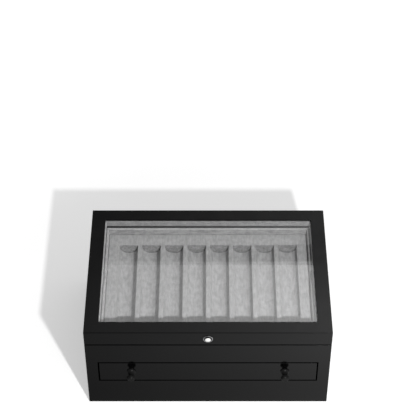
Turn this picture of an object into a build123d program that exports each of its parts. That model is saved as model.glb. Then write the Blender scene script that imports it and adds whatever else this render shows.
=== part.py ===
"""Glass-topped chest for a pen collection.

A black lacquered case with a glazed lid on two butt hinges. Under the lid lies a velvet tray with a
row of pen channels, and an inset drawer below holds a second tray. A sprung push button in the
lid's front rail frees the latch.

Origin: centre of the underside. +X is the right, -Y the front with the drawer, +Z up.
"""

import os
from math import sqrt

from build123d import *

os.makedirs("parts", exist_ok=True)

# ---------------------------------------------------------------------------
# Driving dimensions, in millimetres
# ---------------------------------------------------------------------------

# Pen channels: they set how wide and deep the chest is
channel_count = 8
channel_radius = 13.5
channel_upright = 1.0          # straight wall above the round bottom
channel_length = 155.0
ridge_width = 6.1              # velvet between two channels
side_flat = 16.1               # from the outer channel to the lining
front_flat = 7.55
back_ledge = 21.95
tray_thickness = 28.0
tray_edge_radius = 0.8
tray_clearance = 0.2           # between a tray and the boards around it
tray_recess = 0.4              # tray's top below the rim

# Case
wall = 16.3
lining_thickness = 9.2         # front and back
lining_side_thickness = 8.25
lining_lip = 3.2               # lining's thickness above the rim
lining_lip_height = 10.4
lining_edge_radius = 1.2
plinth_height = 48.15          # floor to the drawer bay
shelf_thickness = 6.0
bottom_thickness = 6.0
felt_thickness = 1.2
edge_radius = 0.8

# Thumb notches in the two side lips
notch_width = 21.0
notch_depth = 9.0
notch_radius = 2.0

# Lid
seam_gap = 1.2
lid_rail = 14.0
lid_frame_width = 20.0         # top face of a rail
lid_lip_thickness = 2.3        # rail's lip over the glass
lid_lip_radius = 0.5
glass_thickness = 3.0
glass_clearance = 0.3
bead_height = 8.0
bead_overhang = 1.2            # past the rail's lip
bead_clearance = 2.4           # above the lining's lip
bead_radius = 0.8

# Butt hinges
hinge_offset = 100.0           # from the middle of the chest
hinge_width = 30.0
hinge_leaf_depth = 11.75
hinge_leaf_thickness = 1.0
hinge_leaf_recess = 0.8
knuckle_count = 5
knuckle_radius = 2.4
knuckle_gap = 0.2
knuckle_standoff = 0.25        # behind the back face
hinge_pin_radius = 1.0
hinge_pin_clearance = 0.05
hinge_screw_spacing = 18.0

# Countersunk screws
screw_head_radius = 2.1
screw_radius = 1.2
screw_length = 9.0
screw_point = 1.2
screw_slot_width = 0.5
screw_slot_depth = 0.35
screw_clearance = 0.05
countersink_clearance = 0.1

# Bumper dots on the rim
bumper_radius = 3.5
bumper_recess = 0.5
bumper_proud = 0.9
bumper_inset = 27.0            # from the chest's front and back faces
bumper_clearance = 0.05

# Drawer
drawer_front_height = 37.2
drawer_front_thickness = 16.0
drawer_front_radius = 0.5
drawer_reveal = 2.0
drawer_board = 9.0
drawer_board_step = 1.0        # sides and back below the front's top edge
drawer_bottom_thickness = 4.0
drawer_bottom_rise = 4.0       # bottom board above the sides' lower edge
drawer_tray_headroom = 0.7      # under the drawer's stop
drawer_travel = 150.0
running_gap = 0.3
runner_width = 12.0
runner_upright = 10.0
kicker_height = 2.65
kicker_width = 8.0
stop_width = 40.0
stop_thickness = 6.0
stop_overlap = 3.5             # below the top edge of the drawer's back
back_bumper_radius = 6.0
back_bumper_thickness = 2.0
back_bumper_spacing = 200.0

# Drawer knobs
knob_inset = 44.3              # from the end of the drawer front
knob_length = 15.0
knob_foot_radius = 6.3
knob_foot_thickness = 1.2
knob_neck_radius = 3.6
knob_neck_height = 6.0         # narrowest place above the drawer front
knob_head_radius = 5.8
knob_head_height = 10.8        # widest place of the head
knob_shoulder_radius = 5.2
knob_shoulder_height = 13.5
knob_face_radius = 3.9
knob_screw_radius = 1.95
knob_screw_head_radius = 3.8
knob_screw_head = 2.4
knob_screw_depth = 8.0         # thread inside the knob
knob_screw_clearance = 0.1
knob_counterbore_depth = 3.0

# Push button and latch, in the lid's front rail
bezel_radius = 6.5
bezel_flange = 1.0
bezel_rim_radius = 0.5
bezel_sleeve_radius = 6.0
bezel_sleeve_length = 10.0
bezel_floor = 1.2
cap_radius = 5.3
cap_running_gap = 0.08
cap_proud = 2.8
cap_dome = 1.4                 # rise of the cap's dome
cap_depth = 4.9                # behind the rail's face
inlay_radius = 3.7
inlay_clearance = 0.05
inlay_edge = 0.48              # inlay's thickness at its edge
stem_radius = 2.0
stem_clearance = 0.08
stem_socket = 2.9              # stem inside the cap
stem_rivet_radius = 3.0
stem_rivet = 0.3
tongue_width = 10.0
tongue_thickness = 1.5
tongue_play = 0.1              # behind the bezel at rest
tongue_above_stem = 4.0
tongue_below_rim = 5.1
tooth_height = 1.6
tooth_reach = 1.4
button_travel = 2.0
latch_slot_side_gap = 0.6
latch_slot_top_gap = 1.0
spring_wire = 0.5
spring_radius = 4.3
spring_turns = 3
strike_thickness = 1.0
strike_width = 32.0
strike_back_margin = 1.1       # from the plate to the rail's inner face
strike_front_margin = 3.3      # from the plate's front edge to its slot
strike_slot_gap = 0.4
strike_pocket_gap = 1.3
strike_pocket_depth = 2.1      # below the tongue
strike_screw_spacing = 22.0

# ---------------------------------------------------------------------------
# Planes of the chest, worked out from the sizes above
# ---------------------------------------------------------------------------

channel_pitch = 2 * channel_radius + ridge_width
tray_x = (channel_count * channel_pitch - ridge_width) / 2 + side_flat
tray_y = (front_flat + channel_length + back_ledge) / 2
inner_x = tray_x + lining_side_thickness
inner_y = tray_y + lining_thickness
outer_x = inner_x + wall
outer_y = inner_y + wall
front_y = -outer_y

bay_floor_z = plinth_height
bay_ceiling_z = bay_floor_z + drawer_front_height + 2 * drawer_reveal
tray_shelf_z = bay_ceiling_z + kicker_height
tray_z = tray_shelf_z + shelf_thickness
tray_top_z = tray_z + tray_thickness
rim_z = tray_top_z + tray_recess
lining_top_z = rim_z + lining_lip_height
lid_z = rim_z + seam_gap
bead_z = lining_top_z + bead_clearance
glass_z = bead_z + bead_height
lid_lip_z = glass_z + glass_thickness
top_z = lid_lip_z + lid_lip_thickness

sides = {"left": -1, "right": 1}


def block(x, y, z, mode=Mode.ADD):
    """Square-cornered block between the two ends given for each axis."""
    middle = Vector(*[(low + high) / 2 for low, high in (x, y, z)])
    with Locations(middle):
        Box(x[1] - x[0], y[1] - y[0], z[1] - z[0], mode=mode)


def span(side, near, far):
    """Ends of a stretch from near to far on the left (-1) or right (1) of the chest."""
    return (near, far) if side > 0 else (-far, -near)


def both(reach):
    """Ends of a stretch that reaches as far to each side of the middle."""
    return (-reach, reach)


def save(part, name):
    part.label = name
    export_step(part, f"parts/{name}.step")


# ---------------------------------------------------------------------------
# Countersunk screw, used in the hinges and the strike plate
# ---------------------------------------------------------------------------

with BuildPart() as screw:
    with BuildSketch(Plane.XZ):
        Polygon(
            (0, 0),
            (screw_head_radius, 0),
            (screw_radius, screw_radius - screw_head_radius),
            (screw_radius, screw_point - screw_length),
            (0, -screw_length),
            align=None,
        )
    revolve(axis=Axis.Z)
    block(both(screw_head_radius), both(screw_slot_width / 2), (-screw_slot_depth, 1), mode=Mode.SUBTRACT)

screw_hole_radius = screw_radius + screw_clearance
countersink_radius = screw_head_radius + countersink_clearance

hinge_axis_y = outer_y + knuckle_standoff + knuckle_radius
hinge_axis_z = rim_z + seam_gap / 2
leaf_y = outer_y - hinge_leaf_depth
leaf_screw_y = (leaf_y + outer_y) / 2
leaf_screw_x = [
    side * hinge_offset + end * hinge_screw_spacing / 2
    for side in sides.values()
    for end in (-1, 1)
]
case_leaf_top_z = rim_z - hinge_leaf_recess + hinge_leaf_thickness
lid_leaf_z = lid_z + hinge_leaf_recess - hinge_leaf_thickness

case_hinge_screw_heads = [Location((x, leaf_screw_y, case_leaf_top_z)) for x in leaf_screw_x]
lid_hinge_screw_heads = [Location((x, leaf_screw_y, lid_leaf_z), (180, 0, 0)) for x in leaf_screw_x]


def screw_pilots(heads):
    """Cut the holes that a group of screws turns into."""
    with Locations(heads):
        Cylinder(screw_hole_radius, 2 * (screw_length + screw_clearance), mode=Mode.SUBTRACT)


def screw_group(heads, name):
    with BuildPart() as screws:
        with Locations(heads):
            add(screw.part)
    save(screws.part, name)


# ---------------------------------------------------------------------------
# Case: boards cut from one block, so that its rounded edges run through
# ---------------------------------------------------------------------------

with BuildPart() as case_block:
    block(both(outer_x), both(outer_y), (0, rim_z))
    fillet(case_block.edges(), radius=edge_radius)

bumper_y = outer_y - bumper_inset
bumper_x = outer_x - wall / 2

for name, side in sides.items():
    with BuildPart() as case_side:
        add(case_block.part)
        block(span(side, inner_x, outer_x), both(outer_y), (0, rim_z), mode=Mode.INTERSECT)
        with BuildSketch(Plane.XY.offset(rim_z)):
            with Locations((side * bumper_x, -bumper_y), (side * bumper_x, bumper_y)):
                Circle(bumper_radius + bumper_clearance)
        extrude(amount=-bumper_recess, mode=Mode.SUBTRACT)
    save(case_side.part, f"case_side_{name}")

with BuildPart() as case_back:
    add(case_block.part)
    block(both(inner_x), (inner_y, outer_y), (0, rim_z), mode=Mode.INTERSECT)
    for side in sides.values():
        leaf_x = side * hinge_offset
        block(
            (leaf_x - hinge_width / 2, leaf_x + hinge_width / 2),
            (leaf_y, outer_y),
            (rim_z - hinge_leaf_recess, rim_z),
            mode=Mode.SUBTRACT,
        )
    screw_pilots(case_hinge_screw_heads)
save(case_back.part, "case_back")

with BuildPart() as case_front_lower_rail:
    add(case_block.part)
    block(both(inner_x), (front_y, -inner_y), (0, bay_floor_z), mode=Mode.INTERSECT)
save(case_front_lower_rail.part, "case_front_lower_rail")

# The latch: places behind the front face, and heights, that the lid and the case share
button_z = (lid_z + top_z) / 2
tongue_y = front_y + bezel_sleeve_length + tongue_play
tongue_back_y = tongue_y + tongue_thickness
tongue_z = rim_z - tongue_below_rim
strike_slot_y = (tongue_y - tooth_reach - strike_slot_gap, tongue_back_y + button_travel + strike_slot_gap)
strike_slot_x = tongue_width / 2 + latch_slot_side_gap
strike_y = (strike_slot_y[0] - strike_front_margin, -inner_y - strike_back_margin)
strike_screw_y = (strike_slot_y[0] + strike_slot_y[1]) / 2
strike_screw_heads = [
    Location((end * strike_screw_spacing / 2, strike_screw_y, rim_z)) for end in (-1, 1)
]

with BuildPart() as case_front_upper_rail:
    add(case_block.part)
    block(both(inner_x), (front_y, -inner_y), (bay_ceiling_z, rim_z), mode=Mode.INTERSECT)
    block(both(strike_width / 2), strike_y, (rim_z - strike_thickness, rim_z), mode=Mode.SUBTRACT)
    block(
        both(strike_slot_x + latch_slot_side_gap),
        (strike_slot_y[0] - strike_pocket_gap, strike_slot_y[1]),
        (tongue_z - strike_pocket_depth, rim_z),
        mode=Mode.SUBTRACT,
    )
    screw_pilots(strike_screw_heads)
save(case_front_upper_rail.part, "case_front_upper_rail")

with BuildPart() as base_felt:
    block(both(inner_x), both(inner_y), (0, felt_thickness))
save(base_felt.part, "base_felt")

with BuildPart() as case_bottom:
    block(both(inner_x), both(inner_y), (felt_thickness, felt_thickness + bottom_thickness))
save(case_bottom.part, "case_bottom")

with BuildPart() as drawer_shelf:
    block(both(inner_x), both(inner_y), (bay_floor_z - shelf_thickness, bay_floor_z))
save(drawer_shelf.part, "drawer_shelf")

with BuildPart() as tray_shelf:
    block(both(inner_x), both(inner_y), (tray_shelf_z, tray_z))
save(tray_shelf.part, "tray_shelf")

# ---------------------------------------------------------------------------
# What guides the drawer: L-shaped runners, kicker strips, stop and bumpers
# ---------------------------------------------------------------------------

drawer_z = bay_floor_z + drawer_reveal
drawer_top_z = drawer_z + drawer_front_height
drawer_x = inner_x - drawer_reveal
drawer_board_top_z = drawer_top_z - drawer_board_step
drawer_inner_y = front_y + drawer_front_thickness
drawer_end_y = inner_y - back_bumper_thickness - running_gap
drawer_back_y = drawer_end_y - drawer_board
runner_thickness = drawer_reveal - running_gap

for name, side in sides.items():
    with BuildPart() as drawer_runner:
        block(
            span(side, inner_x - runner_width, inner_x),
            both(inner_y),
            (bay_floor_z, bay_floor_z + runner_thickness),
        )
        block(
            span(side, inner_x - runner_thickness, inner_x),
            both(inner_y),
            (bay_floor_z, bay_floor_z + runner_upright),
        )
    save(drawer_runner.part, f"drawer_runner_{name}")

    with BuildPart() as drawer_kicker:
        block(span(side, inner_x - kicker_width, inner_x), both(inner_y), (bay_ceiling_z, tray_shelf_z))
    save(drawer_kicker.part, f"drawer_kicker_{name}")

stop_y = drawer_back_y - drawer_travel - running_gap

with BuildPart() as drawer_stop:
    block(
        both(stop_width / 2),
        (stop_y - stop_thickness, stop_y),
        (drawer_board_top_z - stop_overlap, tray_shelf_z),
    )
save(drawer_stop.part, "drawer_stop")

with BuildPart() as drawer_bumpers:
    with BuildSketch(Plane.XZ.offset(-inner_y)):
        with Locations(
            (-back_bumper_spacing / 2, (drawer_z + drawer_board_top_z) / 2),
            (back_bumper_spacing / 2, (drawer_z + drawer_board_top_z) / 2),
        ):
            Circle(back_bumper_radius)
    extrude(amount=back_bumper_thickness)
save(drawer_bumpers.part, "drawer_bumpers")

with BuildPart() as lid_bumpers:
    with BuildSketch(Plane.XY.offset(rim_z - bumper_recess)):
        with GridLocations(2 * bumper_x, 2 * bumper_y, 2, 2):
            Circle(bumper_radius)
    extrude(amount=bumper_recess + bumper_proud)
save(lid_bumpers.part, "lid_bumpers")

# ---------------------------------------------------------------------------
# Velvet lining: four boards that stand on the tray shelf, with a lip above the rim
# ---------------------------------------------------------------------------

lip_x = tray_x + lining_lip
lip_y = tray_y + lining_lip

for name, y, lip in (
    ("front", (-inner_y, -tray_y), (-lip_y, -tray_y)),
    ("back", (tray_y, inner_y), (tray_y, lip_y)),
):
    with BuildPart() as lining:
        block(both(inner_x), y, (tray_z, rim_z))
        block(both(lip_x), lip, (rim_z, lining_top_z))
        fillet(lining.edges().filter_by(Axis.X).group_by(Axis.Z)[-1], radius=lining_edge_radius)
    save(lining.part, f"lining_{name}")

for name, side in sides.items():
    with BuildPart() as lining:
        block(span(side, tray_x, inner_x), both(tray_y), (tray_z, rim_z))
        block(span(side, tray_x, lip_x), both(tray_y), (rim_z, lining_top_z))
        fillet(lining.edges().filter_by(Axis.Y).group_by(Axis.Z)[-1], radius=lining_edge_radius)
        with BuildSketch(Plane.YZ.offset(span(side, tray_x, lip_x)[0])):
            with Locations((0, lining_top_z)):
                Rectangle(notch_width, 2 * notch_depth)
            fillet(vertices().group_by(Axis.Z)[0], radius=notch_radius)
        extrude(amount=lining_lip, mode=Mode.SUBTRACT)
    save(lining.part, f"lining_{name}")

# ---------------------------------------------------------------------------
# Pen trays
# ---------------------------------------------------------------------------


def pen_channels(top_z, start_y):
    """Cut the row of U-shaped channels into the tray being built, and round its upper edges."""
    with BuildSketch(Plane.XZ.offset(-start_y)) as channels:
        with Locations((0, top_z - channel_upright)):
            with GridLocations(channel_pitch, 1, channel_count, 1):
                Circle(channel_radius)
        with Locations((0, top_z)):
            with GridLocations(channel_pitch, 1, channel_count, 1):
                Rectangle(2 * channel_radius, 2 * channel_upright)
    extrude(channels.sketch, amount=-channel_length, mode=Mode.SUBTRACT)
    fillet(edges().group_by(Axis.Z)[-1], radius=tray_edge_radius)


with BuildPart() as pen_tray:
    block(both(tray_x - tray_clearance), both(tray_y - tray_clearance), (tray_z, tray_top_z))
    pen_channels(tray_top_z, front_flat - tray_y)
save(pen_tray.part, "pen_tray")

# ---------------------------------------------------------------------------
# Drawer
# ---------------------------------------------------------------------------

knob_x = drawer_x - knob_inset
knob_z = (drawer_z + drawer_top_z) / 2
knob_centres = {name: side * knob_x for name, side in sides.items()}

with BuildPart() as drawer_front:
    block(both(drawer_x), (front_y, drawer_inner_y), (drawer_z, drawer_top_z))
    fillet(drawer_front.edges().group_by(Axis.Y)[0], radius=drawer_front_radius)
    with Locations(
        [Location((x, drawer_inner_y, knob_z), (-90, 0, 0)) for x in knob_centres.values()]
    ):
        CounterBoreHole(
            radius=knob_screw_radius + knob_screw_clearance,
            counter_bore_radius=knob_screw_head_radius + knob_screw_clearance,
            counter_bore_depth=knob_counterbore_depth,
        )
save(drawer_front.part, "drawer_front")

for name, side in sides.items():
    with BuildPart() as drawer_side:
        block(
            span(side, drawer_x - drawer_board, drawer_x),
            (drawer_inner_y, drawer_end_y),
            (drawer_z, drawer_board_top_z),
        )
    save(drawer_side.part, f"drawer_side_{name}")

drawer_inside_x = drawer_x - drawer_board
drawer_bottom_z = drawer_z + drawer_bottom_rise
drawer_tray_z = drawer_bottom_z + drawer_bottom_thickness
drawer_tray_top_z = drawer_board_top_z - stop_overlap - drawer_tray_headroom

with BuildPart() as drawer_back:
    block(both(drawer_inside_x), (drawer_back_y, drawer_end_y), (drawer_z, drawer_board_top_z))
save(drawer_back.part, "drawer_back")

with BuildPart() as drawer_bottom:
    block(both(drawer_inside_x), (drawer_inner_y, drawer_back_y), (drawer_bottom_z, drawer_tray_z))
save(drawer_bottom.part, "drawer_bottom")

with BuildPart() as drawer_pen_tray:
    block(
        both(drawer_inside_x - tray_clearance),
        (drawer_inner_y + tray_clearance, drawer_back_y - tray_clearance),
        (drawer_tray_z, drawer_tray_top_z),
    )
    pen_channels(drawer_tray_top_z, drawer_inner_y + front_flat)
save(drawer_pen_tray.part, "drawer_pen_tray")

# A knob is turned from black plastic: a foot, a waisted neck and a head with rounded shoulders and a
# flat face. The screw comes from inside the drawer front.
knob_screw_y = drawer_inner_y - knob_counterbore_depth

for name, x in knob_centres.items():
    with BuildPart() as knob:
        with BuildSketch(Plane((x, front_y, knob_z), x_dir=(1, 0, 0), z_dir=(0, 0, 1))):
            with BuildLine():
                Polyline(
                    (knob_face_radius, -knob_length),
                    (0, -knob_length),
                    (0, 0),
                    (knob_foot_radius, 0),
                    (knob_foot_radius, -knob_foot_thickness),
                )
                ThreePointArc(
                    (knob_foot_radius, -knob_foot_thickness),
                    (knob_neck_radius, -knob_neck_height),
                    (knob_head_radius, -knob_head_height),
                )
                ThreePointArc(
                    (knob_head_radius, -knob_head_height),
                    (knob_shoulder_radius, -knob_shoulder_height),
                    (knob_face_radius, -knob_length),
                )
            make_face()
        revolve(axis=Axis((x, front_y, knob_z), (0, 1, 0)))
        with BuildSketch(Plane.XZ.offset(-front_y)):
            with Locations((x, knob_z)):
                Circle(knob_screw_radius + knob_screw_clearance)
        extrude(amount=knob_screw_depth, mode=Mode.SUBTRACT)
    save(knob.part, f"drawer_knob_{name}")

with BuildPart() as knob_screws:
    with BuildSketch(Plane.XZ.offset(-knob_screw_y)):
        with Locations(*[(x, knob_z) for x in knob_centres.values()]):
            Circle(knob_screw_radius)
    extrude(amount=knob_screw_y - front_y + knob_screw_depth - knob_screw_clearance)
    with BuildSketch(Plane.XZ.offset(-knob_screw_y)):
        with Locations(*[(x, knob_z) for x in knob_centres.values()]):
            Circle(knob_screw_head_radius)
    extrude(amount=-knob_screw_head)
save(knob_screws.part, "knob_screws")

# ---------------------------------------------------------------------------
# Lid: one moulded frame, mitred into four rails
# ---------------------------------------------------------------------------

lid_inner_x = outer_x - lid_rail
lid_inner_y = outer_y - lid_rail
glass_edge_x = outer_x - lid_frame_width
glass_edge_y = outer_y - lid_frame_width
mitre_depth = lid_frame_width + bead_overhang + lid_rail

with BuildPart() as lid_frame:
    block(both(outer_x), both(outer_y), (lid_z, top_z))
    fillet(lid_frame.edges(), radius=edge_radius)
    block(both(glass_edge_x), both(glass_edge_y), (lid_z, top_z), mode=Mode.SUBTRACT)
    sight_edges = lid_frame.edges().group_by(Axis.Z)[-1].filter_by(
        lambda edge: abs(edge.center().X) < glass_edge_x + edge_radius
        and abs(edge.center().Y) < glass_edge_y + edge_radius
    )
    fillet(sight_edges, radius=lid_lip_radius)
    block(both(lid_inner_x), both(lid_inner_y), (lid_z, lid_lip_z), mode=Mode.SUBTRACT)

with BuildPart() as bead_frame:
    block(both(lid_inner_x), both(lid_inner_y), (bead_z, glass_z))
    block(
        both(glass_edge_x - bead_overhang),
        both(glass_edge_y - bead_overhang),
        (bead_z, glass_z),
        mode=Mode.SUBTRACT,
    )
    inner_edges = bead_frame.edges().filter_by_position(
        Axis.X, -glass_edge_x, glass_edge_x
    ).filter_by_position(Axis.Y, -glass_edge_y, glass_edge_y)
    fillet(inner_edges.group_by(Axis.Z)[0], radius=bead_radius)

lid_corners = [(x * outer_x, y * outer_y) for x, y in ((-1, -1), (1, -1), (1, 1), (-1, 1))]
inner_corners = [
    (x * (outer_x - mitre_depth), y * (outer_y - mitre_depth))
    for x, y in ((-1, -1), (1, -1), (1, 1), (-1, 1))
]
mitred_outlines = {
    name: [lid_corners[start], lid_corners[end], inner_corners[end], inner_corners[start]]
    for name, start, end in (("front", 0, 1), ("right", 1, 2), ("back", 2, 3), ("left", 3, 0))
}

for name, outline in mitred_outlines.items():
    with BuildPart() as lid_rail_piece:
        add(lid_frame.part)
        with BuildSketch(Plane.XY.offset(lid_z)):
            Polygon(*outline, align=None)
        extrude(amount=top_z - lid_z, mode=Mode.INTERSECT)
        if name == "front":
            with BuildSketch(Plane.XZ.offset(-front_y)):
                with Locations((0, button_z)):
                    Circle(bezel_sleeve_radius)
            extrude(amount=-bezel_sleeve_length, mode=Mode.SUBTRACT)
            block(
                both(strike_slot_x),
                (front_y + bezel_sleeve_length, front_y + lid_rail),
                (lid_z, button_z + tongue_above_stem + latch_slot_top_gap),
                mode=Mode.SUBTRACT,
            )
            block(
                both(strike_slot_x),
                (tongue_y - tooth_reach - strike_slot_gap, front_y + bezel_sleeve_length),
                (lid_z, button_z - bezel_sleeve_radius),
                mode=Mode.SUBTRACT,
            )
        if name == "back":
            for side in sides.values():
                leaf_x = side * hinge_offset
                block(
                    (leaf_x - hinge_width / 2, leaf_x + hinge_width / 2),
                    (leaf_y, outer_y),
                    (lid_z, lid_z + hinge_leaf_recess),
                    mode=Mode.SUBTRACT,
                )
            screw_pilots(lid_hinge_screw_heads)
    save(lid_rail_piece.part, f"lid_rail_{name}")

    with BuildPart() as bead:
        add(bead_frame.part)
        with BuildSketch(Plane.XY.offset(bead_z)):
            Polygon(*outline, align=None)
        extrude(amount=bead_height, mode=Mode.INTERSECT)
    save(bead.part, f"glazing_bead_{name}")

with BuildPart() as lid_glass:
    block(
        both(lid_inner_x - glass_clearance),
        both(lid_inner_y - glass_clearance),
        (glass_z, lid_lip_z),
    )
save(lid_glass.part, "lid_glass")

# ---------------------------------------------------------------------------
# Hinges: the case leaf has the outer knuckles, the lid leaf the ones between
# ---------------------------------------------------------------------------

knuckle_pitch = hinge_width / knuckle_count
knuckle_length = knuckle_pitch - knuckle_gap
knuckle_root_y = hinge_axis_y - (hinge_pin_radius + knuckle_radius) / 2 + hinge_pin_clearance

for name, side in sides.items():
    hinge_x = side * hinge_offset
    hinge_start_x = hinge_x - hinge_width / 2
    for body, plate_z, first_knuckle, heads in (
        ("case", rim_z - hinge_leaf_recess, 0, case_hinge_screw_heads),
        ("lid", lid_leaf_z, 1, lid_hinge_screw_heads),
    ):
        plate = (plate_z, plate_z + hinge_leaf_thickness)
        with BuildPart() as hinge_leaf:
            block((hinge_start_x, hinge_start_x + hinge_width), (leaf_y, outer_y), plate)
            for knuckle in range(first_knuckle, knuckle_count, 2):
                start_x = hinge_start_x + knuckle * knuckle_pitch + knuckle_gap / 2
                block((start_x, start_x + knuckle_length), (leaf_screw_y, knuckle_root_y), plate)
                with BuildSketch(Plane.YZ.offset(start_x)):
                    with Locations((hinge_axis_y, hinge_axis_z)):
                        Circle(knuckle_radius)
                extrude(amount=knuckle_length)
            with BuildSketch(Plane.YZ.offset(hinge_start_x)):
                with Locations((hinge_axis_y, hinge_axis_z)):
                    Circle(hinge_pin_radius + hinge_pin_clearance)
            extrude(amount=hinge_width, mode=Mode.SUBTRACT)
            own_heads = [head for head in heads if head.position.X * side > 0]
            with Locations(own_heads):
                CounterSinkHole(
                    radius=screw_radius + countersink_clearance,
                    counter_sink_radius=countersink_radius,
                    depth=hinge_leaf_thickness,
                    counter_sink_angle=90,
                )
        save(hinge_leaf.part, f"hinge_{body}_leaf_{name}")

with BuildPart() as hinge_pins:
    for side in sides.values():
        with BuildSketch(Plane.YZ.offset(side * hinge_offset - hinge_width / 2)):
            with Locations((hinge_axis_y, hinge_axis_z)):
                Circle(hinge_pin_radius)
        extrude(amount=hinge_width)
save(hinge_pins.part, "hinge_pins")

screw_group(case_hinge_screw_heads, "case_hinge_screws")
screw_group(lid_hinge_screw_heads, "lid_hinge_screws")

# ---------------------------------------------------------------------------
# Strike plate in the case's rim
# ---------------------------------------------------------------------------

with BuildPart() as strike_plate:
    block(both(strike_width / 2), strike_y, (rim_z - strike_thickness, rim_z))
    block(both(strike_slot_x), strike_slot_y, (rim_z - strike_thickness, rim_z), mode=Mode.SUBTRACT)
    with Locations(strike_screw_heads):
        CounterSinkHole(
            radius=screw_radius + countersink_clearance,
            counter_sink_radius=countersink_radius,
            depth=strike_thickness,
            counter_sink_angle=90,
        )
save(strike_plate.part, "strike_plate")

screw_group(strike_screw_heads, "strike_plate_screws")

# ---------------------------------------------------------------------------
# Push button and latch tongue
# ---------------------------------------------------------------------------

button_plane = Plane((0, front_y, button_z), x_dir=(1, 0, 0), z_dir=(0, 0, 1))
button_axis = Axis((0, front_y, button_z), (0, 1, 0))
cap_bore_radius = cap_radius + cap_running_gap
dome_radius = (cap_radius**2 + cap_dome**2) / (2 * cap_dome)


def dome_y(radius):
    """Height of the cap's dome at a distance from its axis, on the button's plane."""
    return -cap_proud + dome_radius - sqrt(dome_radius**2 - radius**2)


inlay_floor = dome_y(inlay_radius) + inlay_edge

with BuildPart() as button_bezel:
    with BuildSketch(button_plane):
        Polygon(
            (cap_bore_radius, -bezel_flange),
            (bezel_radius, -bezel_flange),
            (bezel_radius, 0),
            (bezel_sleeve_radius, 0),
            (bezel_sleeve_radius, bezel_sleeve_length),
            (stem_radius + stem_clearance, bezel_sleeve_length),
            (stem_radius + stem_clearance, bezel_sleeve_length - bezel_floor),
            (cap_bore_radius, bezel_sleeve_length - bezel_floor),
            align=None,
        )
    revolve(axis=button_axis)
    fillet(button_bezel.edges().group_by(Axis.Y)[0], radius=bezel_rim_radius)
save(button_bezel.part, "button_bezel")

with BuildPart() as button_cap:
    with BuildSketch(button_plane):
        with BuildLine():
            Polyline(
                (inlay_radius + inlay_clearance, dome_y(inlay_radius + inlay_clearance)),
                (inlay_radius + inlay_clearance, inlay_floor),
                (0, inlay_floor),
                (0, cap_depth - stem_socket),
                (stem_radius + stem_clearance, cap_depth - stem_socket),
                (stem_radius + stem_clearance, cap_depth),
                (cap_radius, cap_depth),
                (cap_radius, dome_y(cap_radius)),
            )
            outer_dome = (inlay_radius + cap_radius) / 2
            ThreePointArc(
                (cap_radius, dome_y(cap_radius)),
                (outer_dome, dome_y(outer_dome)),
                (inlay_radius + inlay_clearance, dome_y(inlay_radius + inlay_clearance)),
            )
        make_face()
    revolve(axis=button_axis)
save(button_cap.part, "button_cap")

with BuildPart() as button_inlay:
    with BuildSketch(button_plane):
        with BuildLine():
            Polyline(
                (0, -cap_proud),
                (0, inlay_floor),
                (inlay_radius, inlay_floor),
                (inlay_radius, dome_y(inlay_radius)),
            )
            ThreePointArc(
                (inlay_radius, dome_y(inlay_radius)),
                (inlay_radius / 2, dome_y(inlay_radius / 2)),
                (0, -cap_proud),
            )
        make_face()
    revolve(axis=button_axis)
save(button_inlay.part, "button_inlay")

with BuildPart() as latch_stem:
    with BuildSketch(button_plane):
        stem_end = tongue_back_y - front_y
        Polygon(
            (0, cap_depth - stem_socket),
            (stem_radius, cap_depth - stem_socket),
            (stem_radius, stem_end),
            (stem_rivet_radius, stem_end),
            (stem_rivet_radius, stem_end + stem_rivet),
            (0, stem_end + stem_rivet),
            align=None,
        )
    revolve(axis=button_axis)
save(latch_stem.part, "latch_stem")

with BuildPart() as latch_tongue:
    block(
        both(tongue_width / 2),
        (tongue_y, tongue_back_y),
        (tongue_z, button_z + tongue_above_stem),
    )
    block(both(tongue_width / 2), (tongue_y - tooth_reach, tongue_y), (tongue_z, tongue_z + tooth_height))
    with BuildSketch(Plane.XZ.offset(-tongue_y)):
        with Locations((0, button_z)):
            Circle(stem_radius + stem_clearance)
    extrude(amount=-tongue_thickness, mode=Mode.SUBTRACT)
save(latch_tongue.part, "latch_tongue")

spring_start_y = front_y + cap_depth + spring_wire / 2
spring_end_y = front_y + bezel_sleeve_length - bezel_floor - spring_wire / 2
spring_length = spring_end_y - spring_start_y

with BuildPart() as button_spring:
    with BuildLine() as coil:
        Helix(
            pitch=spring_length / spring_turns,
            height=spring_length,
            radius=spring_radius,
            center=(0, spring_start_y, button_z),
            direction=(0, 1, 0),
        )
    with BuildSketch(Plane(coil.line @ 0, z_dir=coil.line % 0)):
        Circle(spring_wire / 2)
    sweep(is_frenet=True)
save(button_spring.part, "button_spring")
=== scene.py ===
"""Looks of a glass-topped pen chest: black lacquer outside, grey velvet inside.

The script goes through the chest in the order in which it is put together.
Everything is in metres.
"""

import math

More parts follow.
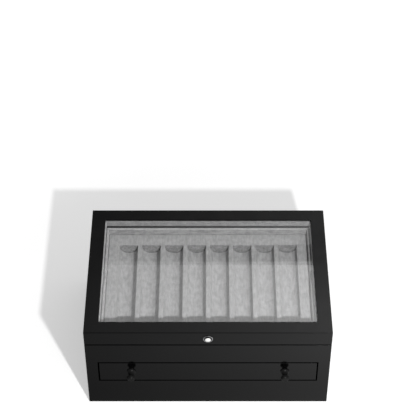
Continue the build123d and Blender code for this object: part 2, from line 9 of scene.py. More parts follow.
import bmesh
import bpy
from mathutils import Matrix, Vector


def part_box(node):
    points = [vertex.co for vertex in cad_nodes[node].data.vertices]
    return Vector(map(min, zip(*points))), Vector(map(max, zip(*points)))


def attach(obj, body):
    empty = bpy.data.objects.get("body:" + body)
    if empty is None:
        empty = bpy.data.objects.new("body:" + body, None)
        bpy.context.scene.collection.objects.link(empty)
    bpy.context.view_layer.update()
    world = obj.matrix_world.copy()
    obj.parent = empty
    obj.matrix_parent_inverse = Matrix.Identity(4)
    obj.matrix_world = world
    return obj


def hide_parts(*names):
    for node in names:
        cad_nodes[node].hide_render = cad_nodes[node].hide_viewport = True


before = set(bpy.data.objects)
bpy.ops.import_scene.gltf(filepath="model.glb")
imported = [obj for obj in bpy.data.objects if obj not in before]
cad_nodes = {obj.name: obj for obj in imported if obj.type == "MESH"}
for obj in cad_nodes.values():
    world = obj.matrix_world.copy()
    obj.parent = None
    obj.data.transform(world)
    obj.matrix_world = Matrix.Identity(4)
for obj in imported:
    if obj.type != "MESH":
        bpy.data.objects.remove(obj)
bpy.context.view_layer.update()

# ---------------------------------------------------------------------------
# Where the chest stands: a white table under one small lamp, front right, and
# soft light from all round that is brighter on the right.
# ---------------------------------------------------------------------------

camera_place = (0.0, -1.3681, 1.6444)
camera_dip = math.radians(45.03)
focal_length = 123.52                  # on a 36 mm wide sensor
lamp_place = (0.376, -1.161, 1.124)
lamp_radius = 0.028
lamp_power = 83.0
fill_light = 0.40
table_size = 24.0
table_grey = 0.80                      # as the camera sees it
table_glow = 0.425                     # what takes the lit table to white
table_far_glow = 0.80                  # the same, far from the chest
table_glow_reach = (0.33, 0.75)        # from the chest's middle, where one becomes the other
table_bounce = 0.60                    # as the chest sees it


def new_node(tree, kind, inputs=(), **properties):
    """A node with some of its properties and inputs set."""
    made = tree.nodes.new(kind)
    for name, value in properties.items():
        setattr(made, name, value)
    for name, value in dict(inputs).items():
        made.inputs[name].default_value = value
    return made


def wire(tree, *runs):
    """Link each (node, output, node, input)."""
    for source, output, target, socket in runs:
        tree.links.new(source.outputs[output], target.inputs[socket])


def maths(tree, operation, first, second=None, third=None):
    """A Math node fed by numbers or (node, output) pairs; gives its own such pair."""
    made = new_node(tree, "ShaderNodeMath", operation=operation)
    for index, value in enumerate((first, second, third)):
        if isinstance(value, tuple):
            tree.links.new(value[0].outputs[value[1]], made.inputs[index])
        elif value is not None:
            made.inputs[index].default_value = value
    return made, "Value"


def ramp(tree, value, low, high, bottom, top):
    """A (node, output) pair that eases from bottom to top as value goes from low to high."""
    made = new_node(
        tree,
        "ShaderNodeMapRange",
        {"From Min": low, "From Max": high, "To Min": bottom, "To Max": top},
        interpolation_type="SMOOTHSTEP",
    )
    tree.links.new(value[0].outputs[value[1]], made.inputs["Value"])
    return made, "Result"


camera = bpy.data.objects.new("camera", bpy.data.cameras.new("camera"))
bpy.context.scene.collection.objects.link(camera)
camera.location = camera_place
camera.rotation_euler = (math.pi / 2 - camera_dip, 0, 0)
camera.data.lens = focal_length
camera.data.sensor_width = 36
camera.data.clip_end = 100             # well past the far end of the table
bpy.context.scene.camera = camera

lamp = bpy.data.objects.new("lamp", bpy.data.lights.new("lamp", "POINT"))
bpy.context.scene.collection.objects.link(lamp)
lamp.location = lamp_place
lamp.data.energy = lamp_power
lamp.data.shadow_soft_size = lamp_radius

# The room: white behind the chest, and for gloss a bright ceiling with a narrow dark gap,
# which shows as a straight dark band across the glass. Behind the camera the room is dark.
# The soft light is stronger from the right.
gap_angles = (math.radians(46.40), math.radians(47.27))
gap_blur = math.radians(0.04)
ceiling_middle = 1.40                  # brightness straight ahead
ceiling_growth = 1800.0                # how many times as bright it is due right of that
ceiling_range = (0.62, 3.0)
ceiling_low = 0.48                     # share of it below the gap
ceiling_high = (0.85, 1.02)            # and above it, from the gap upwards
ceiling_top = math.radians(50.0)
dark_side = (-0.1, 0.45)               # where the room turns dark, towards the camera
dark_light = 0.03
fill_turn = 0.80                       # how much of the soft light moves from left to right


def clamp(tree, value, low, high):
    """A (node, output) pair held between two numbers."""
    return maths(tree, "MINIMUM", maths(tree, "MAXIMUM", value, low), high)


def ray_kinds(tree):
    """Two (node, output) pairs: what is seen straight or through glass, and what gloss mirrors."""
    path = new_node(tree, "ShaderNodeLightPath")
    glossed = maths(tree, "GREATER_THAN", (path, "Glossy Depth"), 0.5)
    straight = maths(tree, "MAXIMUM", (path, "Is Camera Ray"), (path, "Is Transmission Ray"))
    only_straight = maths(tree, "SUBTRACT", straight, glossed)
    only_glossed = maths(tree, "SUBTRACT", glossed, (path, "Is Diffuse Ray"))
    return (
        maths(tree, "GREATER_THAN", only_straight, 0.5),
        maths(tree, "GREATER_THAN", only_glossed, 0.5),
    )


world = bpy.data.worlds.new("room")
bpy.context.scene.world = world
world.use_nodes = True
room = world.node_tree
room.nodes.clear()
direction = new_node(room, "ShaderNodeTexCoord")
parts = new_node(room, "ShaderNodeSeparateXYZ")
wire(room, (direction, "Generated", parts, "Vector"))
rise = maths(room, "ARCTAN2", (parts, "Z"), (parts, "Y"))
below_gap = ramp(room, rise, gap_angles[0] - gap_blur, gap_angles[0], ceiling_low, 0)
above_edge = ramp(room, rise, gap_angles[1], gap_angles[1] + gap_blur, 0, 1)
above_gap = maths(
    room, "MULTIPLY", above_edge, ramp(room, rise, gap_angles[1], ceiling_top, *ceiling_high)
)
panels = maths(room, "MAXIMUM", below_gap, above_gap)
growth = maths(room, "MULTIPLY", ceiling_middle, maths(room, "POWER", ceiling_growth, (parts, "X")))
ceiling = clamp(room, growth, *ceiling_range)
ahead = ramp(room, (parts, "Y"), *dark_side, 0, 1)
gloss_light = maths(
    room, "MULTIPLY_ADD", maths(room, "MULTIPLY", panels, ceiling), ahead, dark_light
)
soft_light = maths(room, "MULTIPLY_ADD", (parts, "X"), fill_light * fill_turn, fill_light)
seen, mirrored = ray_kinds(room)
fill_sky = new_node(room, "ShaderNodeBackground", {"Color": (1, 1, 1, 1)})
gloss_sky = new_node(room, "ShaderNodeBackground", {"Color": (1, 1, 1, 1)})
white_sky = new_node(room, "ShaderNodeBackground", {"Color": (1, 1, 1, 1), "Strength": 1.0})
first_mix = new_node(room, "ShaderNodeMixShader")
second_mix = new_node(room, "ShaderNodeMixShader")
room_output = new_node(room, "ShaderNodeOutputWorld")
wire(
    room,
    (*soft_light, fill_sky, "Strength"),
    (*gloss_light, gloss_sky, "Strength"),
    (*mirrored, first_mix, "Fac"),
    (fill_sky, "Background", first_mix, 1),
    (gloss_sky, "Background", first_mix, 2),
    (*seen, second_mix, "Fac"),
    (first_mix, "Shader", second_mix, 1),
    (white_sky, "Background", second_mix, 2),
    (second_mix, "Shader", room_output, "Surface"),
)

# The table: white to the camera, with the chest's shadow kept. What the lacquer mirrors of it
# is a painted glow, not lamp light: brighter to the right, with painted shade towards the foot of
# the chest.
table_gloss_middle = 0.92
table_gloss_growth = 17.8              # how many times as bright it is a metre to the right
table_gloss_range = (0.25, 1.9)
table_foot_shade_span = (-0.245, -0.125)       # where painted shade darkens the glow towards the foot of the chest
table_foot_shade_share = 0.70

table_mesh = bpy.data.meshes.new("table")
half = table_size / 2
table_mesh.from_pydata(
    [(-half, -half, 0), (half, -half, 0), (half, half, 0), (-half, half, 0)], [], [(0, 1, 2, 3)]
)
table = bpy.data.objects.new("table", table_mesh)
bpy.context.scene.collection.objects.link(table)
table_material = bpy.data.materials.new("table")
table_material.use_nodes = True
tree = table_material.node_tree
tree.nodes.clear()
seen, mirrored = ray_kinds(tree)
place = new_node(tree, "ShaderNodeTexCoord")
parts = new_node(tree, "ShaderNodeSeparateXYZ")
shown = new_node(tree, "ShaderNodeBsdfDiffuse", {"Color": (*[table_grey] * 3, 1)})
glow = new_node(tree, "ShaderNodeEmission")
lit_table = new_node(tree, "ShaderNodeAddShader")
bounce = new_node(tree, "ShaderNodeBsdfDiffuse", {"Color": (*[table_bounce] * 3, 1)})
gloss_glow = new_node(tree, "ShaderNodeEmission")
gloss_mix = new_node(tree, "ShaderNodeMixShader")
seen_mix = new_node(tree, "ShaderNodeMixShader")
output = new_node(tree, "ShaderNodeOutputMaterial")
wire(tree, (place, "Object", parts, "Vector"))
# The gloss glow is painted light that grows towards the right.
growth = maths(
    tree, "MULTIPLY", table_gloss_middle, maths(tree, "POWER", table_gloss_growth, (parts, "X"))
)
# Painted shade on the gloss glow near the foot of the chest.
painted_foot_shade = ramp(tree, (parts, "Y"), *table_foot_shade_span, 1, table_foot_shade_share)
table_gloss = maths(tree, "MULTIPLY", clamp(tree, growth, *table_gloss_range), painted_foot_shade)
reach = new_node(tree, "ShaderNodeVectorMath", operation="LENGTH")
wire(tree, (place, "Object", reach, "Vector"))
table_glow_here = ramp(tree, (reach, "Value"), *table_glow_reach, table_glow, table_far_glow)
wire(
    tree,
    (*table_glow_here, glow, "Strength"),
    (shown, "BSDF", lit_table, 0),
    (glow, "Emission", lit_table, 1),
    (*table_gloss, gloss_glow, "Strength"),
    (*mirrored, gloss_mix, "Fac"),
    (bounce, "BSDF", gloss_mix, 1),
    (gloss_glow, "Emission", gloss_mix, 2),
    (*seen, seen_mix, "Fac"),
    (gloss_mix, "Shader", seen_mix, 1),
    (lit_table, "Shader", seen_mix, 2),
    (seen_mix, "Shader", output, "Surface"),
)
table_mesh.materials.append(table_material)
bpy.context.scene.view_settings.view_transform = "Standard"

# ---------------------------------------------------------------------------
# Case boards: fibreboard glued up into an open box, sprayed with black lacquer
# and rubbed to a satin polish. Joints don't show through the lacquer.
# ---------------------------------------------------------------------------

lacquer_black = (0.0012, 0.0012, 0.0013, 1)
lacquer_worn = (0.0020, 0.0020, 0.0021, 1)
lacquer_gloss = 0.16                   # specular level
lacquer_polish = (0.10, 0.15)          # roughness, from the best spots to the worst
lacquer_cloud = 0.05
rubbing_size = 0.03
orange_peel_size = 0.0020
orange_peel_depth = 0.00001
noise_span = (0.3, 0.7)                # where nearly all of any noise lies


def new_material(name):
    """An empty material: its tree, its Principled shader and its object coordinates."""
    material = bpy.data.materials.new(name)
    material.use_nodes = True
    shader = material.node_tree.nodes["Principled BSDF"]
    place = new_node(material.node_tree, "ShaderNodeTexCoord")
    return material, material.node_tree, shader, place


def noise(tree, place, size, detail=2.0, stretch=(1, 1, 1)):
    """Noise whose lumps are about as wide as size; gives its (node, output) pair."""
    mapping = new_node(tree, "ShaderNodeMapping", {"Scale": stretch})
    made = new_node(
        tree, "ShaderNodeTexNoise", {"Scale": 1 / size, "Detail": detail, "Roughness": 0.5}
    )
    wire(tree, (place, "Object", mapping, "Vector"), (mapping, "Vector", made, "Vector"))
    return made, "Fac"


def bump(tree, height, shader, depth, strength):
    """Raise the surface of a shader by height, over a depth in metres."""
    made = new_node(tree, "ShaderNodeBump", {"Distance": depth, "Strength": strength})
    wire(tree, (*height, made, "Height"), (made, "Normal", shader, "Normal"))


def blend_colours(tree, share, first, second, shader):
    """Colour a shader between two colours by a (node, output) share."""
    made = new_node(tree, "ShaderNodeMix", data_type="RGBA")
    made.inputs["A"].default_value = first
    made.inputs["B"].default_value = second
    tree.links.new(share[0].outputs[share[1]], made.inputs["Factor"])
    tree.links.new(made.outputs["Result"], shader.inputs["Base Color"])


def black_lacquer():
    """Deep black with a faint orange peel and a polish that is not quite even."""
    material, tree, shader, place = new_material("black_lacquer")
    shader.inputs["Specular IOR Level"].default_value = lacquer_gloss
    cloud = noise(tree, place, lacquer_cloud)
    blend_colours(tree, cloud, lacquer_black, lacquer_worn, shader)
    rubbing = noise(tree, place, rubbing_size, detail=4)
    wire(tree, (*ramp(tree, rubbing, *noise_span, *lacquer_polish), shader, "Roughness"))
    bump(tree, noise(tree, place, orange_peel_size), shader, orange_peel_depth, 0.25)
    return material


def dress(material, slot, *names):
    """Give CAD nodes a finish."""
    for name in names:
        piece = cad_nodes[name]
        piece.data.materials.clear()
        piece.data.materials.append(material)


lacquer = black_lacquer()
dress(
    lacquer,
    "black_lacquer",
    "case_side_left",
    "case_side_right",
    "case_back",
    "case_front_lower_rail",
    "case_front_upper_rail",
)

# ---------------------------------------------------------------------------
# Underside and buffers: a sheet of black wool felt glued under the bottom
# board, and small felt dots glued behind the drawer and into the rim.
# ---------------------------------------------------------------------------

felt_dark = (0.012, 0.012, 0.013, 1)
felt_light = (0.035, 0.035, 0.037, 1)
felt_fibre_size = 0.0008
felt_depth = 0.0003


def black_felt():
    """Matted black wool fibres."""
    material, tree, shader, place = new_material("black_felt")
    shader.inputs["Roughness"].default_value = 0.95
    shader.inputs["Sheen Weight"].default_value = 0.3
    fibres = noise(tree, place, felt_fibre_size, detail=6)
    blend_colours(tree, fibres, felt_dark, felt_light, shader)
    bump(tree, fibres, shader, felt_depth, 0.8)
    return material


dress(black_felt(), "black_felt", "base_felt", "drawer_bumpers", "lid_bumpers")

# ---------------------------------------------------------------------------
# Inside boards, kickers, stop and the drawer's box: plain birch, sawn and
# sanded, its grain along each board's length, and glued together.
# ---------------------------------------------------------------------------

birch_dark = (0.47, 0.32, 0.18, 1)
birch_light = (0.68, 0.52, 0.34, 1)
ring_width = 0.012
pore_width = 0.0012
pore_depth = 0.0001
along_x = (0.06, 1, 1)                 # the grain's stretch
along_y = (1, 0.06, 1)


def bare_wood(name, stretch):
    """Pale wood with fine grain, drawn out along the axis that stretch makes small."""
    material, tree, shader, place = new_material(name)
    shader.inputs["Roughness"].default_value = 0.55
    rings = noise(tree, place, ring_width, detail=8, stretch=stretch)
    blend_colours(tree, rings, birch_dark, birch_light, shader)
    pores = noise(tree, place, pore_width, detail=4, stretch=stretch)
    bump(tree, pores, shader, pore_depth, 0.5)
    return material


dress(
    bare_wood("wood_along_x", along_x),
    "bare_wood",
    "case_bottom",
    "drawer_shelf",
    "tray_shelf",
    "drawer_stop",
    "drawer_back",
    "drawer_bottom",
)
dress(
    bare_wood("wood_along_y", along_y),
    "bare_wood",
    "drawer_kicker_left",
    "drawer_kicker_right",
    "drawer_side_left",
    "drawer_side_right",
)

# ---------------------------------------------------------------------------
# Lining: four boards wrapped in short grey velvet, with soft edges. Their lips
# stand above the rim, and each side lip has a thumb notch.
# ---------------------------------------------------------------------------

velvet_dark = (0.230, 0.230, 0.231, 1)
velvet_light = (0.570, 0.570, 0.572, 1)
pile_size = 0.0007
crush_size = 0.0075
brushed_size = 0.0030
crush_share = 0.30                     # how much each of the three counts
brushed_share = 0.45
pile_share = 0.25
velvet_contrast = (0.37, 0.63)         # part of their sum that shows
velvet_span = (0.34, 0.77)             # where it ends up between velvet_dark and velvet_light
velvet_depth = 0.0006
pile_height = 0.2                      # of the pile's bumps, against the crushed patches'
lining_softness = 0.0007               # rounding of the boards' edges
same_point = 1e-6
same_plane = math.radians(0.5)
sharp_edge = math.radians(40)


def grey_velvet(name, streaks, painted_shade_along_y, painted_light_on_top):
    """Short dense pile: fine grain, crushed patches, and streaks where it was brushed.

    Faces that look along Y get painted shade, as much as the third number says, and faces
    that look up get painted light, as much as the fourth number says.
    """
    material, tree, shader, place = new_material(name)
    shader.inputs["Roughness"].default_value = 0.9
    shader.inputs["Specular IOR Level"].default_value = 0.1
    shader.inputs["Sheen Weight"].default_value = 0.35
    shader.inputs["Sheen Roughness"].default_value = 0.35
    pile = noise(tree, place, pile_size, detail=3)
    crush = noise(tree, place, crush_size, detail=3)
    brushed = noise(tree, place, brushed_size, detail=3, stretch=streaks)
    share = maths(tree, "MULTIPLY", brushed, brushed_share)
    share = maths(tree, "MULTIPLY_ADD", crush, crush_share, share)
    share = maths(tree, "MULTIPLY_ADD", pile, pile_share, share)
    share = ramp(tree, share, *velvet_contrast, *velvet_span)
    facing = new_node(tree, "ShaderNodeSeparateXYZ")
    wire(tree, (place, "Normal", facing, "Vector"))
    # Painted shade on faces that look along Y.
    along = maths(tree, "POWER", maths(tree, "ABSOLUTE", (facing, "Y")), 2.0)
    share = maths(tree, "MULTIPLY_ADD", along, -painted_shade_along_y, share)
    # Painted light on faces that look up.
    painted_light_mask = clamp(tree, (facing, "Z"), 0, 1)
    share = maths(tree, "MULTIPLY_ADD", painted_light_mask, painted_light_on_top, share)
    blend_colours(tree, share, velvet_dark, velvet_light, shader)
    relief = maths(tree, "MULTIPLY_ADD", pile, pile_height, crush)
    bump(tree, relief, shader, velvet_depth, 0.5)
    return material


# Both get painted light on faces that look up; the front and back one also painted shade on faces
# that look along Y.
velvet_across = grey_velvet("velvet_across", (0.25, 1, 1), 0.28, 0.2)
velvet_along = grey_velvet("velvet_along", (1, 0.4, 1), 0.0, 0.2)


def add_piece(name, mesh, body, slot, *replaced):
    """Put a finished mesh into the scene as a piece on a body."""
    piece = bpy.data.objects.new(name, mesh)
    bpy.context.scene.collection.objects.link(piece)
    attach(piece, body)
    if replaced:
        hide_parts(*replaced)
    return piece


def keep_flats(mesh):
    """Shade a mesh smooth, each point's normal set by the largest faces round it."""
    normals = [Vector() for point in mesh.vertices]
    for face in mesh.polygons:
        for index in face.vertices:
            normals[index] += face.normal * face.area
    mesh.shade_smooth()
    mesh.normals_split_custom_set_from_vertices([normal.normalized() for normal in normals])


def softened(name, node, body, slot, material, radius, segments=3):
    """A copy of a CAD board with its flats made whole and its sharp edges rounded."""
    shape = bmesh.new()
    shape.from_mesh(cad_nodes[node].data)
    bmesh.ops.remove_doubles(shape, verts=shape.verts, dist=same_point)
    bmesh.ops.dissolve_limit(
        shape, angle_limit=same_plane, verts=shape.verts, edges=shape.edges
    )
    sharp = [edge for edge in shape.edges if edge.calc_face_angle(0) > sharp_edge]
    bmesh.ops.bevel(
        shape,
        geom=sharp,
        offset=radius,
        segments=segments,
        affect="EDGES",
        profile=0.5,
        clamp_overlap=True,
    )
    mesh = bpy.data.meshes.new(name)
    shape.to_mesh(mesh)
    shape.free()
    keep_flats(mesh)
    mesh.materials.append(material)
    return add_piece(name, mesh, body, slot, node)


velvets = {
    "front": velvet_across,
    "back": velvet_across,
    "left": velvet_along,
    "right": velvet_along,
}
for side, velvet in velvets.items():
    softened(
        f"velvet_lining_{side}", f"lining_{side}", "case", "grey_velvet", velvet, lining_softness
    )

# ---------------------------------------------------------------------------
# Pen trays: moulded blocks flocked with the same velvet. Every bay holds one
# U-shaped channel with rounded shoulders, and the bays repeat across the tray.
# ---------------------------------------------------------------------------

channel_count = 8
channel_pitch = 0.0331
channel_radius = 0.0135
channel_upright = 0.001
channel_length = 0.155
channel_start = 0.00735                # from the tray's front
shoulder = 0.0005                      # rounding along the ridges
outer_round = 0.0018                   # rounding along the tray's outer edges
slit_width = 0.0013                    # the open joint round an end wall
slit_depth = 0.0030
bowl_squareness = 2.3                  # 2 is round
wall_lean = 0.00004                    # keeps a wall's points apart
margin_inset = 1.5 * outer_round       # from the tray's side to the last row on the flat
same_tray_point = 2e-6
tray_crease = math.radians(50)         # sharper edges than this stay sharp
arc_steps = 5
floor_steps = 12
round_steps = 26


def quarter(steps):
    """Angles of a quarter turn."""
    return [math.pi / 2 * step / steps for step in range(steps + 1)]


def bay_columns():
    """Across one bay: (x, depth of the channel there, way out of it in x, and in depth)."""
    half_pitch = channel_pitch / 2
    ridge_foot = channel_radius + shoulder
    ridge = [(-half_pitch, 0.0, 0.0, 0.0), (-(half_pitch + ridge_foot) / 2, 0.0, 0.0, 0.0)]
    top = [
        (-ridge_foot + shoulder * math.sin(a), shoulder * (1 - math.cos(a)), 0.0, 0.0)
        for a in quarter(arc_steps)
    ]
    bowl = []
    for step in range(1, round_steps):
        turn = math.pi * step / round_steps
        across, down = -math.cos(turn), math.sin(turn)
        x = math.copysign(abs(across) ** (2 / bowl_squareness), across)
        depth = down ** (2 / bowl_squareness)
        bowl.append(
            (channel_radius * x, channel_upright + channel_radius * depth, across, down)
        )
    left = ridge + top
    return left + bowl + [(-x, depth, 0.0, 0.0) for x, depth, out, down in reversed(left)]


def tray_path(low, high, start):
    """Round one bay from front to back: (y, z, share of the depth taken off z, slit)."""
    end = start + channel_length
    depth = channel_upright + channel_radius
    over = [
        (low.y + outer_round * (1 - math.sin(a)), high.z - outer_round * (1 - math.cos(a)))
        for a in quarter(arc_steps)
    ]
    front = [(low.y, low.z, 0.0, 0.0)] + [(y, z, 0.0, 0.0) for y, z in reversed(over)]
    drop = [
        (
            start - shoulder + shoulder * math.sin(a),
            high.z,
            shoulder * (1 - math.cos(a)) / depth,
            0.0,
        )
        for a in quarter(arc_steps)
    ]
    drop += [
        (start + wall_lean, high.z, 1.0, slit_depth),
        (start + slit_width, high.z, 1.0, slit_depth),
        (start + slit_width + wall_lean, high.z, 1.0, 0.0),
    ]
    floor = [
        (start + channel_length * step / floor_steps, high.z, 1.0, 0.0)
        for step in range(1, floor_steps)
    ]
    climb = [(start + end - y, z, share, slit) for y, z, share, slit in reversed(drop)]
    back = [(low.y + high.y - y, z, share, slit) for y, z, share, slit in reversed(front)]
    return front + drop + floor + climb + back


def loops_to_mesh(name, columns, path):
    """A tube of closed loops, one for each column."""
    mesh = bpy.data.meshes.new(name)
    count = len(path)
    points = [
        (x + out * slit, y, z - depth * share - down * slit)
        for x, depth, out, down in columns
        for y, z, share, slit in path
    ]
    faces = [
        (
            c * count + p,
            c * count + (p + 1) % count,
            (c + 1) * count + (p + 1) % count,
            (c + 1) * count + p,
        )
        for c in range(len(columns) - 1)
        for p in range(count)
    ]
    mesh.from_pydata(points, [], faces)
    return mesh


def repeat_tree():
    """Geometry nodes that lay a bay out again and again, side by side about the middle."""
    tree = bpy.data.node_groups.new("row_of_bays", "GeometryNodeTree")
    face = tree.interface
    face.new_socket("Bay", in_out="INPUT", socket_type="NodeSocketGeometry")
    face.new_socket("Count", in_out="INPUT", socket_type="NodeSocketInt")
    face.new_socket("Pitch", in_out="INPUT", socket_type="NodeSocketFloat")
    face.new_socket("Finish", in_out="INPUT", socket_type="NodeSocketMaterial")
    face.new_socket("Row", in_out="OUTPUT", socket_type="NodeSocketGeometry")
    given = new_node(tree, "NodeGroupInput")
    result = new_node(tree, "NodeGroupOutput")
    step = new_node(tree, "ShaderNodeCombineXYZ")
    first = new_node(tree, "ShaderNodeCombineXYZ")
    line = new_node(tree, "GeometryNodeMeshLine")
    bays = new_node(tree, "GeometryNodeInstanceOnPoints")
    real = new_node(tree, "GeometryNodeRealizeInstances")
    finish = new_node(tree, "GeometryNodeSetMaterial")
    gaps = maths(tree, "SUBTRACT", (given, "Count"), 1)
    start = maths(tree, "MULTIPLY", maths(tree, "MULTIPLY", gaps, (given, "Pitch")), -0.5)
    wire(
        tree,
        (given, "Pitch", step, "X"),
        (*start, first, "X"),
        (given, "Count", line, "Count"),
        (first, "Vector", line, "Start Location"),
        (step, "Vector", line, "Offset"),
        (line, "Mesh", bays, "Points"),
        (given, "Bay", bays, "Instance"),
        (bays, "Instances", real, "Geometry"),
        (real, "Geometry", finish, "Geometry"),
        (given, "Finish", finish, "Material"),
        (finish, "Geometry", result, "Row"),
    )
    return tree


def apply_tree(mesh, tree, **values):
    """The plain mesh that a node tree makes of a mesh."""
    holder = bpy.data.objects.new("holder", mesh)
    bpy.context.scene.collection.objects.link(holder)
    modifier = holder.modifiers.new("nodes", "NODES")
    modifier.node_group = tree
    for item in tree.interface.items_tree:
        if item.in_out == "INPUT" and item.name in values:
            modifier[item.identifier] = values[item.name]
    shape = holder.evaluated_get(bpy.context.evaluated_depsgraph_get())
    made = bpy.data.meshes.new_from_object(shape)
    bpy.data.objects.remove(holder)
    return made


bay_row = repeat_tree()
# Painted shade on the channels' end walls, which look along Y, and a little painted light on the
# flats.
velvet_flock = grey_velvet("velvet_flock", (1, 0.25, 1), 0.42, 0.08)


def velvet_tray(name, node, body):
    """A flocked tray over the CAD tray's box: the bays, and a flat margin at each side."""
    low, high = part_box(node)
    path = tray_path(low, high, low.y + channel_start)
    count = len(path)
    row = apply_tree(
        loops_to_mesh("bay", bay_columns(), path),
        bay_row,
        Count=channel_count,
        Pitch=channel_pitch,
        Finish=velvet_flock,
    )
    row_end = channel_pitch * channel_count / 2
    margin = [(row_end, 0.0), (high.x - margin_inset, 0.0)]
    margin += [
        (high.x - outer_round * (1 - math.sin(a)), outer_round * (1 - math.cos(a)))
        for a in quarter(arc_steps)
    ]
    shape = bmesh.new()
    shape.from_mesh(row)
    for side in (-1, 1):
        rows = [
            [shape.verts.new((side * x, y, max(low.z, z - drop))) for y, z, share, slit in path]
            for x, drop in margin
        ]
        for near, far in zip(rows, rows[1:]):
            for p in range(count):
                q = (p + 1) % count
                shape.faces.new((near[p], near[q], far[q], far[p]))
        shape.faces.new(rows[-1])
    bmesh.ops.remove_doubles(shape, verts=shape.verts, dist=same_tray_point)
    bmesh.ops.recalc_face_normals(shape, faces=shape.faces)
    mesh = bpy.data.meshes.new(name)
    shape.to_mesh(mesh)
    shape.free()
    mesh.shade_smooth()
    mesh.set_sharp_from_angle(angle=tray_crease)
    mesh.materials.clear()
    mesh.materials.append(velvet_flock)
    return add_piece(name, mesh, body, "grey_velvet", node)


velvet_tray("velvet_pen_tray", "pen_tray", "case")
velvet_tray("velvet_drawer_tray", "drawer_pen_tray", "drawer")

# ---------------------------------------------------------------------------
# Lid: four fibreboard rails, mitred and glued at the corners, then sprayed and
# rubbed with the same lacquer as the case.
# ---------------------------------------------------------------------------

dress(lacquer, "black_lacquer", *[f"lid_rail_{side}" for side in velvets])

# ---------------------------------------------------------------------------
# Pane: 3 mm float glass with ground edges, laid in the rebate of the rails from
# below and held by four beads that are covered with velvet.
# ---------------------------------------------------------------------------

glass_tint = (0.99, 0.99, 0.99, 1)
glass_shade = (0.93, 0.93, 0.93, 1)    # share of the light that comes straight through
glass_arris = 0.0004                   # width of the ground edges
bead_softness = 0.0005


def clear_glass():
    """Clear glass that lets lamp light and soft light straight through."""
    material, tree, shader, place = new_material("clear_glass")
    shader.inputs["Base Color"].default_value = glass_tint
    shader.inputs["Transmission Weight"].default_value = 1.0
    shader.inputs["Roughness"].default_value = 0.0
    shader.inputs["IOR"].default_value = 1.5
    path = new_node(tree, "ShaderNodeLightPath")
    straight = new_node(tree, "ShaderNodeBsdfTransparent", {"Color": glass_shade})
    mix = new_node(tree, "ShaderNodeMixShader")
    through = maths(tree, "MAXIMUM", (path, "Is Shadow Ray"), (path, "Is Diffuse Ray"))
    wire(
        tree,
        (*through, mix, "Fac"),
        (shader, "BSDF", mix, 1),
        (straight, "BSDF", mix, 2),
        (mix, "Shader", tree.nodes["Material Output"], "Surface"),
    )
    return material


softened("glass_pane", "lid_glass", "lid", "clear_glass", clear_glass(), glass_arris, segments=1)

# The front and back beads get a darker copy of the velvet: painted shade on their faces that look
# along Y, and no painted light on top.
velvet_beads_painted_shade = grey_velvet("velvet_beads_painted_shade", (0.25, 1, 1), 0.50, 0.0)
for side, velvet in velvets.items():
    cover = velvet_beads_painted_shade if velvet is velvet_across else velvet
    softened(
        f"velvet_bead_{side}", f"glazing_bead_{side}", "lid", "grey_velvet", cover, bead_softness
    )

# ---------------------------------------------------------------------------
# Hinges, screws, strike plate and latch: stamped, turned or wound from steel and
# nickel-plated. The leaves and the plate are let in and screwed on.
# ---------------------------------------------------------------------------

nickel_dark = (0.50, 0.49, 0.46, 1)
nickel_light = (0.64, 0.63, 0.60, 1)
nickel_polish = (0.24, 0.38)
brush_size = 0.0015
brush_stretch = (0.15, 1, 1)
brush_depth = 0.00002


def nickel():
    """Nickel plating with fine brush marks."""
    material, tree, shader, place = new_material("nickel")
    shader.inputs["Metallic"].default_value = 1.0
    marks = noise(tree, place, brush_size, detail=5, stretch=brush_stretch)
    blend_colours(tree, marks, nickel_dark, nickel_light, shader)
    wire(tree, (*ramp(tree, marks, *noise_span, *nickel_polish), shader, "Roughness"))
    bump(tree, marks, shader, brush_depth, 0.4)
    return material


dress(
    nickel(),
    "nickel_steel",
    "hinge_case_leaf_left",
    "hinge_case_leaf_right",
    "hinge_lid_leaf_left",
    "hinge_lid_leaf_right",
    "hinge_pins",
    "case_hinge_screws",
    "lid_hinge_screws",
    "strike_plate",
    "strike_plate_screws",
    "knob_screws",
    "latch_stem",
    "latch_tongue",
    "button_spring",
)

# ---------------------------------------------------------------------------
# Push button: a turned and chromed bezel pressed into the lid's front rail,
# round a moulded cap of black plastic with an inlay of pale enamel.
# ---------------------------------------------------------------------------

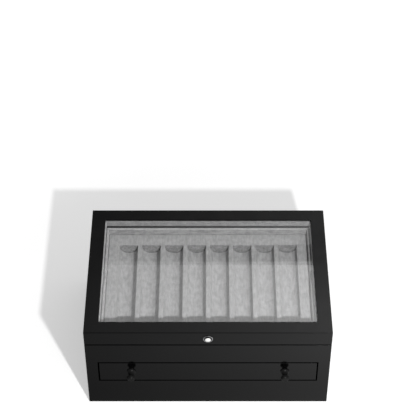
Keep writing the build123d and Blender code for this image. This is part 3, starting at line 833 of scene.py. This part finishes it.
chrome_dark = (0.44, 0.44, 0.45, 1)
chrome_light = (0.52, 0.52, 0.53, 1)
chrome_polish = (0.03, 0.07)
enamel_dark = (0.80, 0.80, 0.78, 1)
enamel_light = (0.90, 0.90, 0.88, 1)
haze_size = 0.004
enamel_cloud = 0.003
plastic_cloud = 0.01
plastic_wear = 0.003
grain_size = 0.0009                    # what the mould leaves on the plastic
grain_depth = 0.00002


def chrome():
    """Dark bright chrome with a little haze."""
    material, tree, shader, place = new_material("chrome")
    shader.inputs["Metallic"].default_value = 1.0
    haze = noise(tree, place, haze_size, detail=4)
    blend_colours(tree, haze, chrome_dark, chrome_light, shader)
    wire(tree, (*ramp(tree, haze, *noise_span, *chrome_polish), shader, "Roughness"))
    return material


def black_plastic(name, dark, worn, polish, gloss):
    """Moulded plastic, from dark to worn, its roughness between the two values of polish."""
    material, tree, shader, place = new_material(name)
    shader.inputs["Specular IOR Level"].default_value = gloss
    cloud = noise(tree, place, plastic_cloud)
    blend_colours(tree, cloud, (*[dark] * 3, 1), (*[worn] * 3, 1), shader)
    wear = noise(tree, place, plastic_wear, detail=4)
    wire(tree, (*ramp(tree, wear, *noise_span, *polish), shader, "Roughness"))
    bump(tree, noise(tree, place, grain_size, detail=3), shader, grain_depth, 0.3)
    return material


def pale_enamel():
    """Polished enamel under a clear coat."""
    material, tree, shader, place = new_material("pale_enamel")
    shader.inputs["Coat Weight"].default_value = 0.6
    shader.inputs["Roughness"].default_value = 0.25
    cloud = noise(tree, place, enamel_cloud, detail=3)
    blend_colours(tree, cloud, enamel_dark, enamel_light, shader)
    return material


glossy_plastic = black_plastic("glossy_plastic", 0.003, 0.005, (0.16, 0.24), 0.2)
dress(chrome(), "chrome", "button_bezel")
dress(glossy_plastic, "black_plastic", "button_cap")
dress(pale_enamel(), "pale_inlay", "button_inlay")

# ---------------------------------------------------------------------------
# Drawer front, knobs and runners: the front is lacquered as the case is. The
# knobs are black plastic, screwed on from inside, and the drawer slides on
# runners of the same plastic.
# ---------------------------------------------------------------------------

dress(lacquer, "black_lacquer", "drawer_front")
satin_plastic = black_plastic("satin_plastic", 0.007, 0.011, (0.36, 0.46), 0.08)
dress(satin_plastic, "black_plastic", "drawer_knob_left", "drawer_knob_right")
dress(satin_plastic, "black_plastic", "drawer_runner_left", "drawer_runner_right")
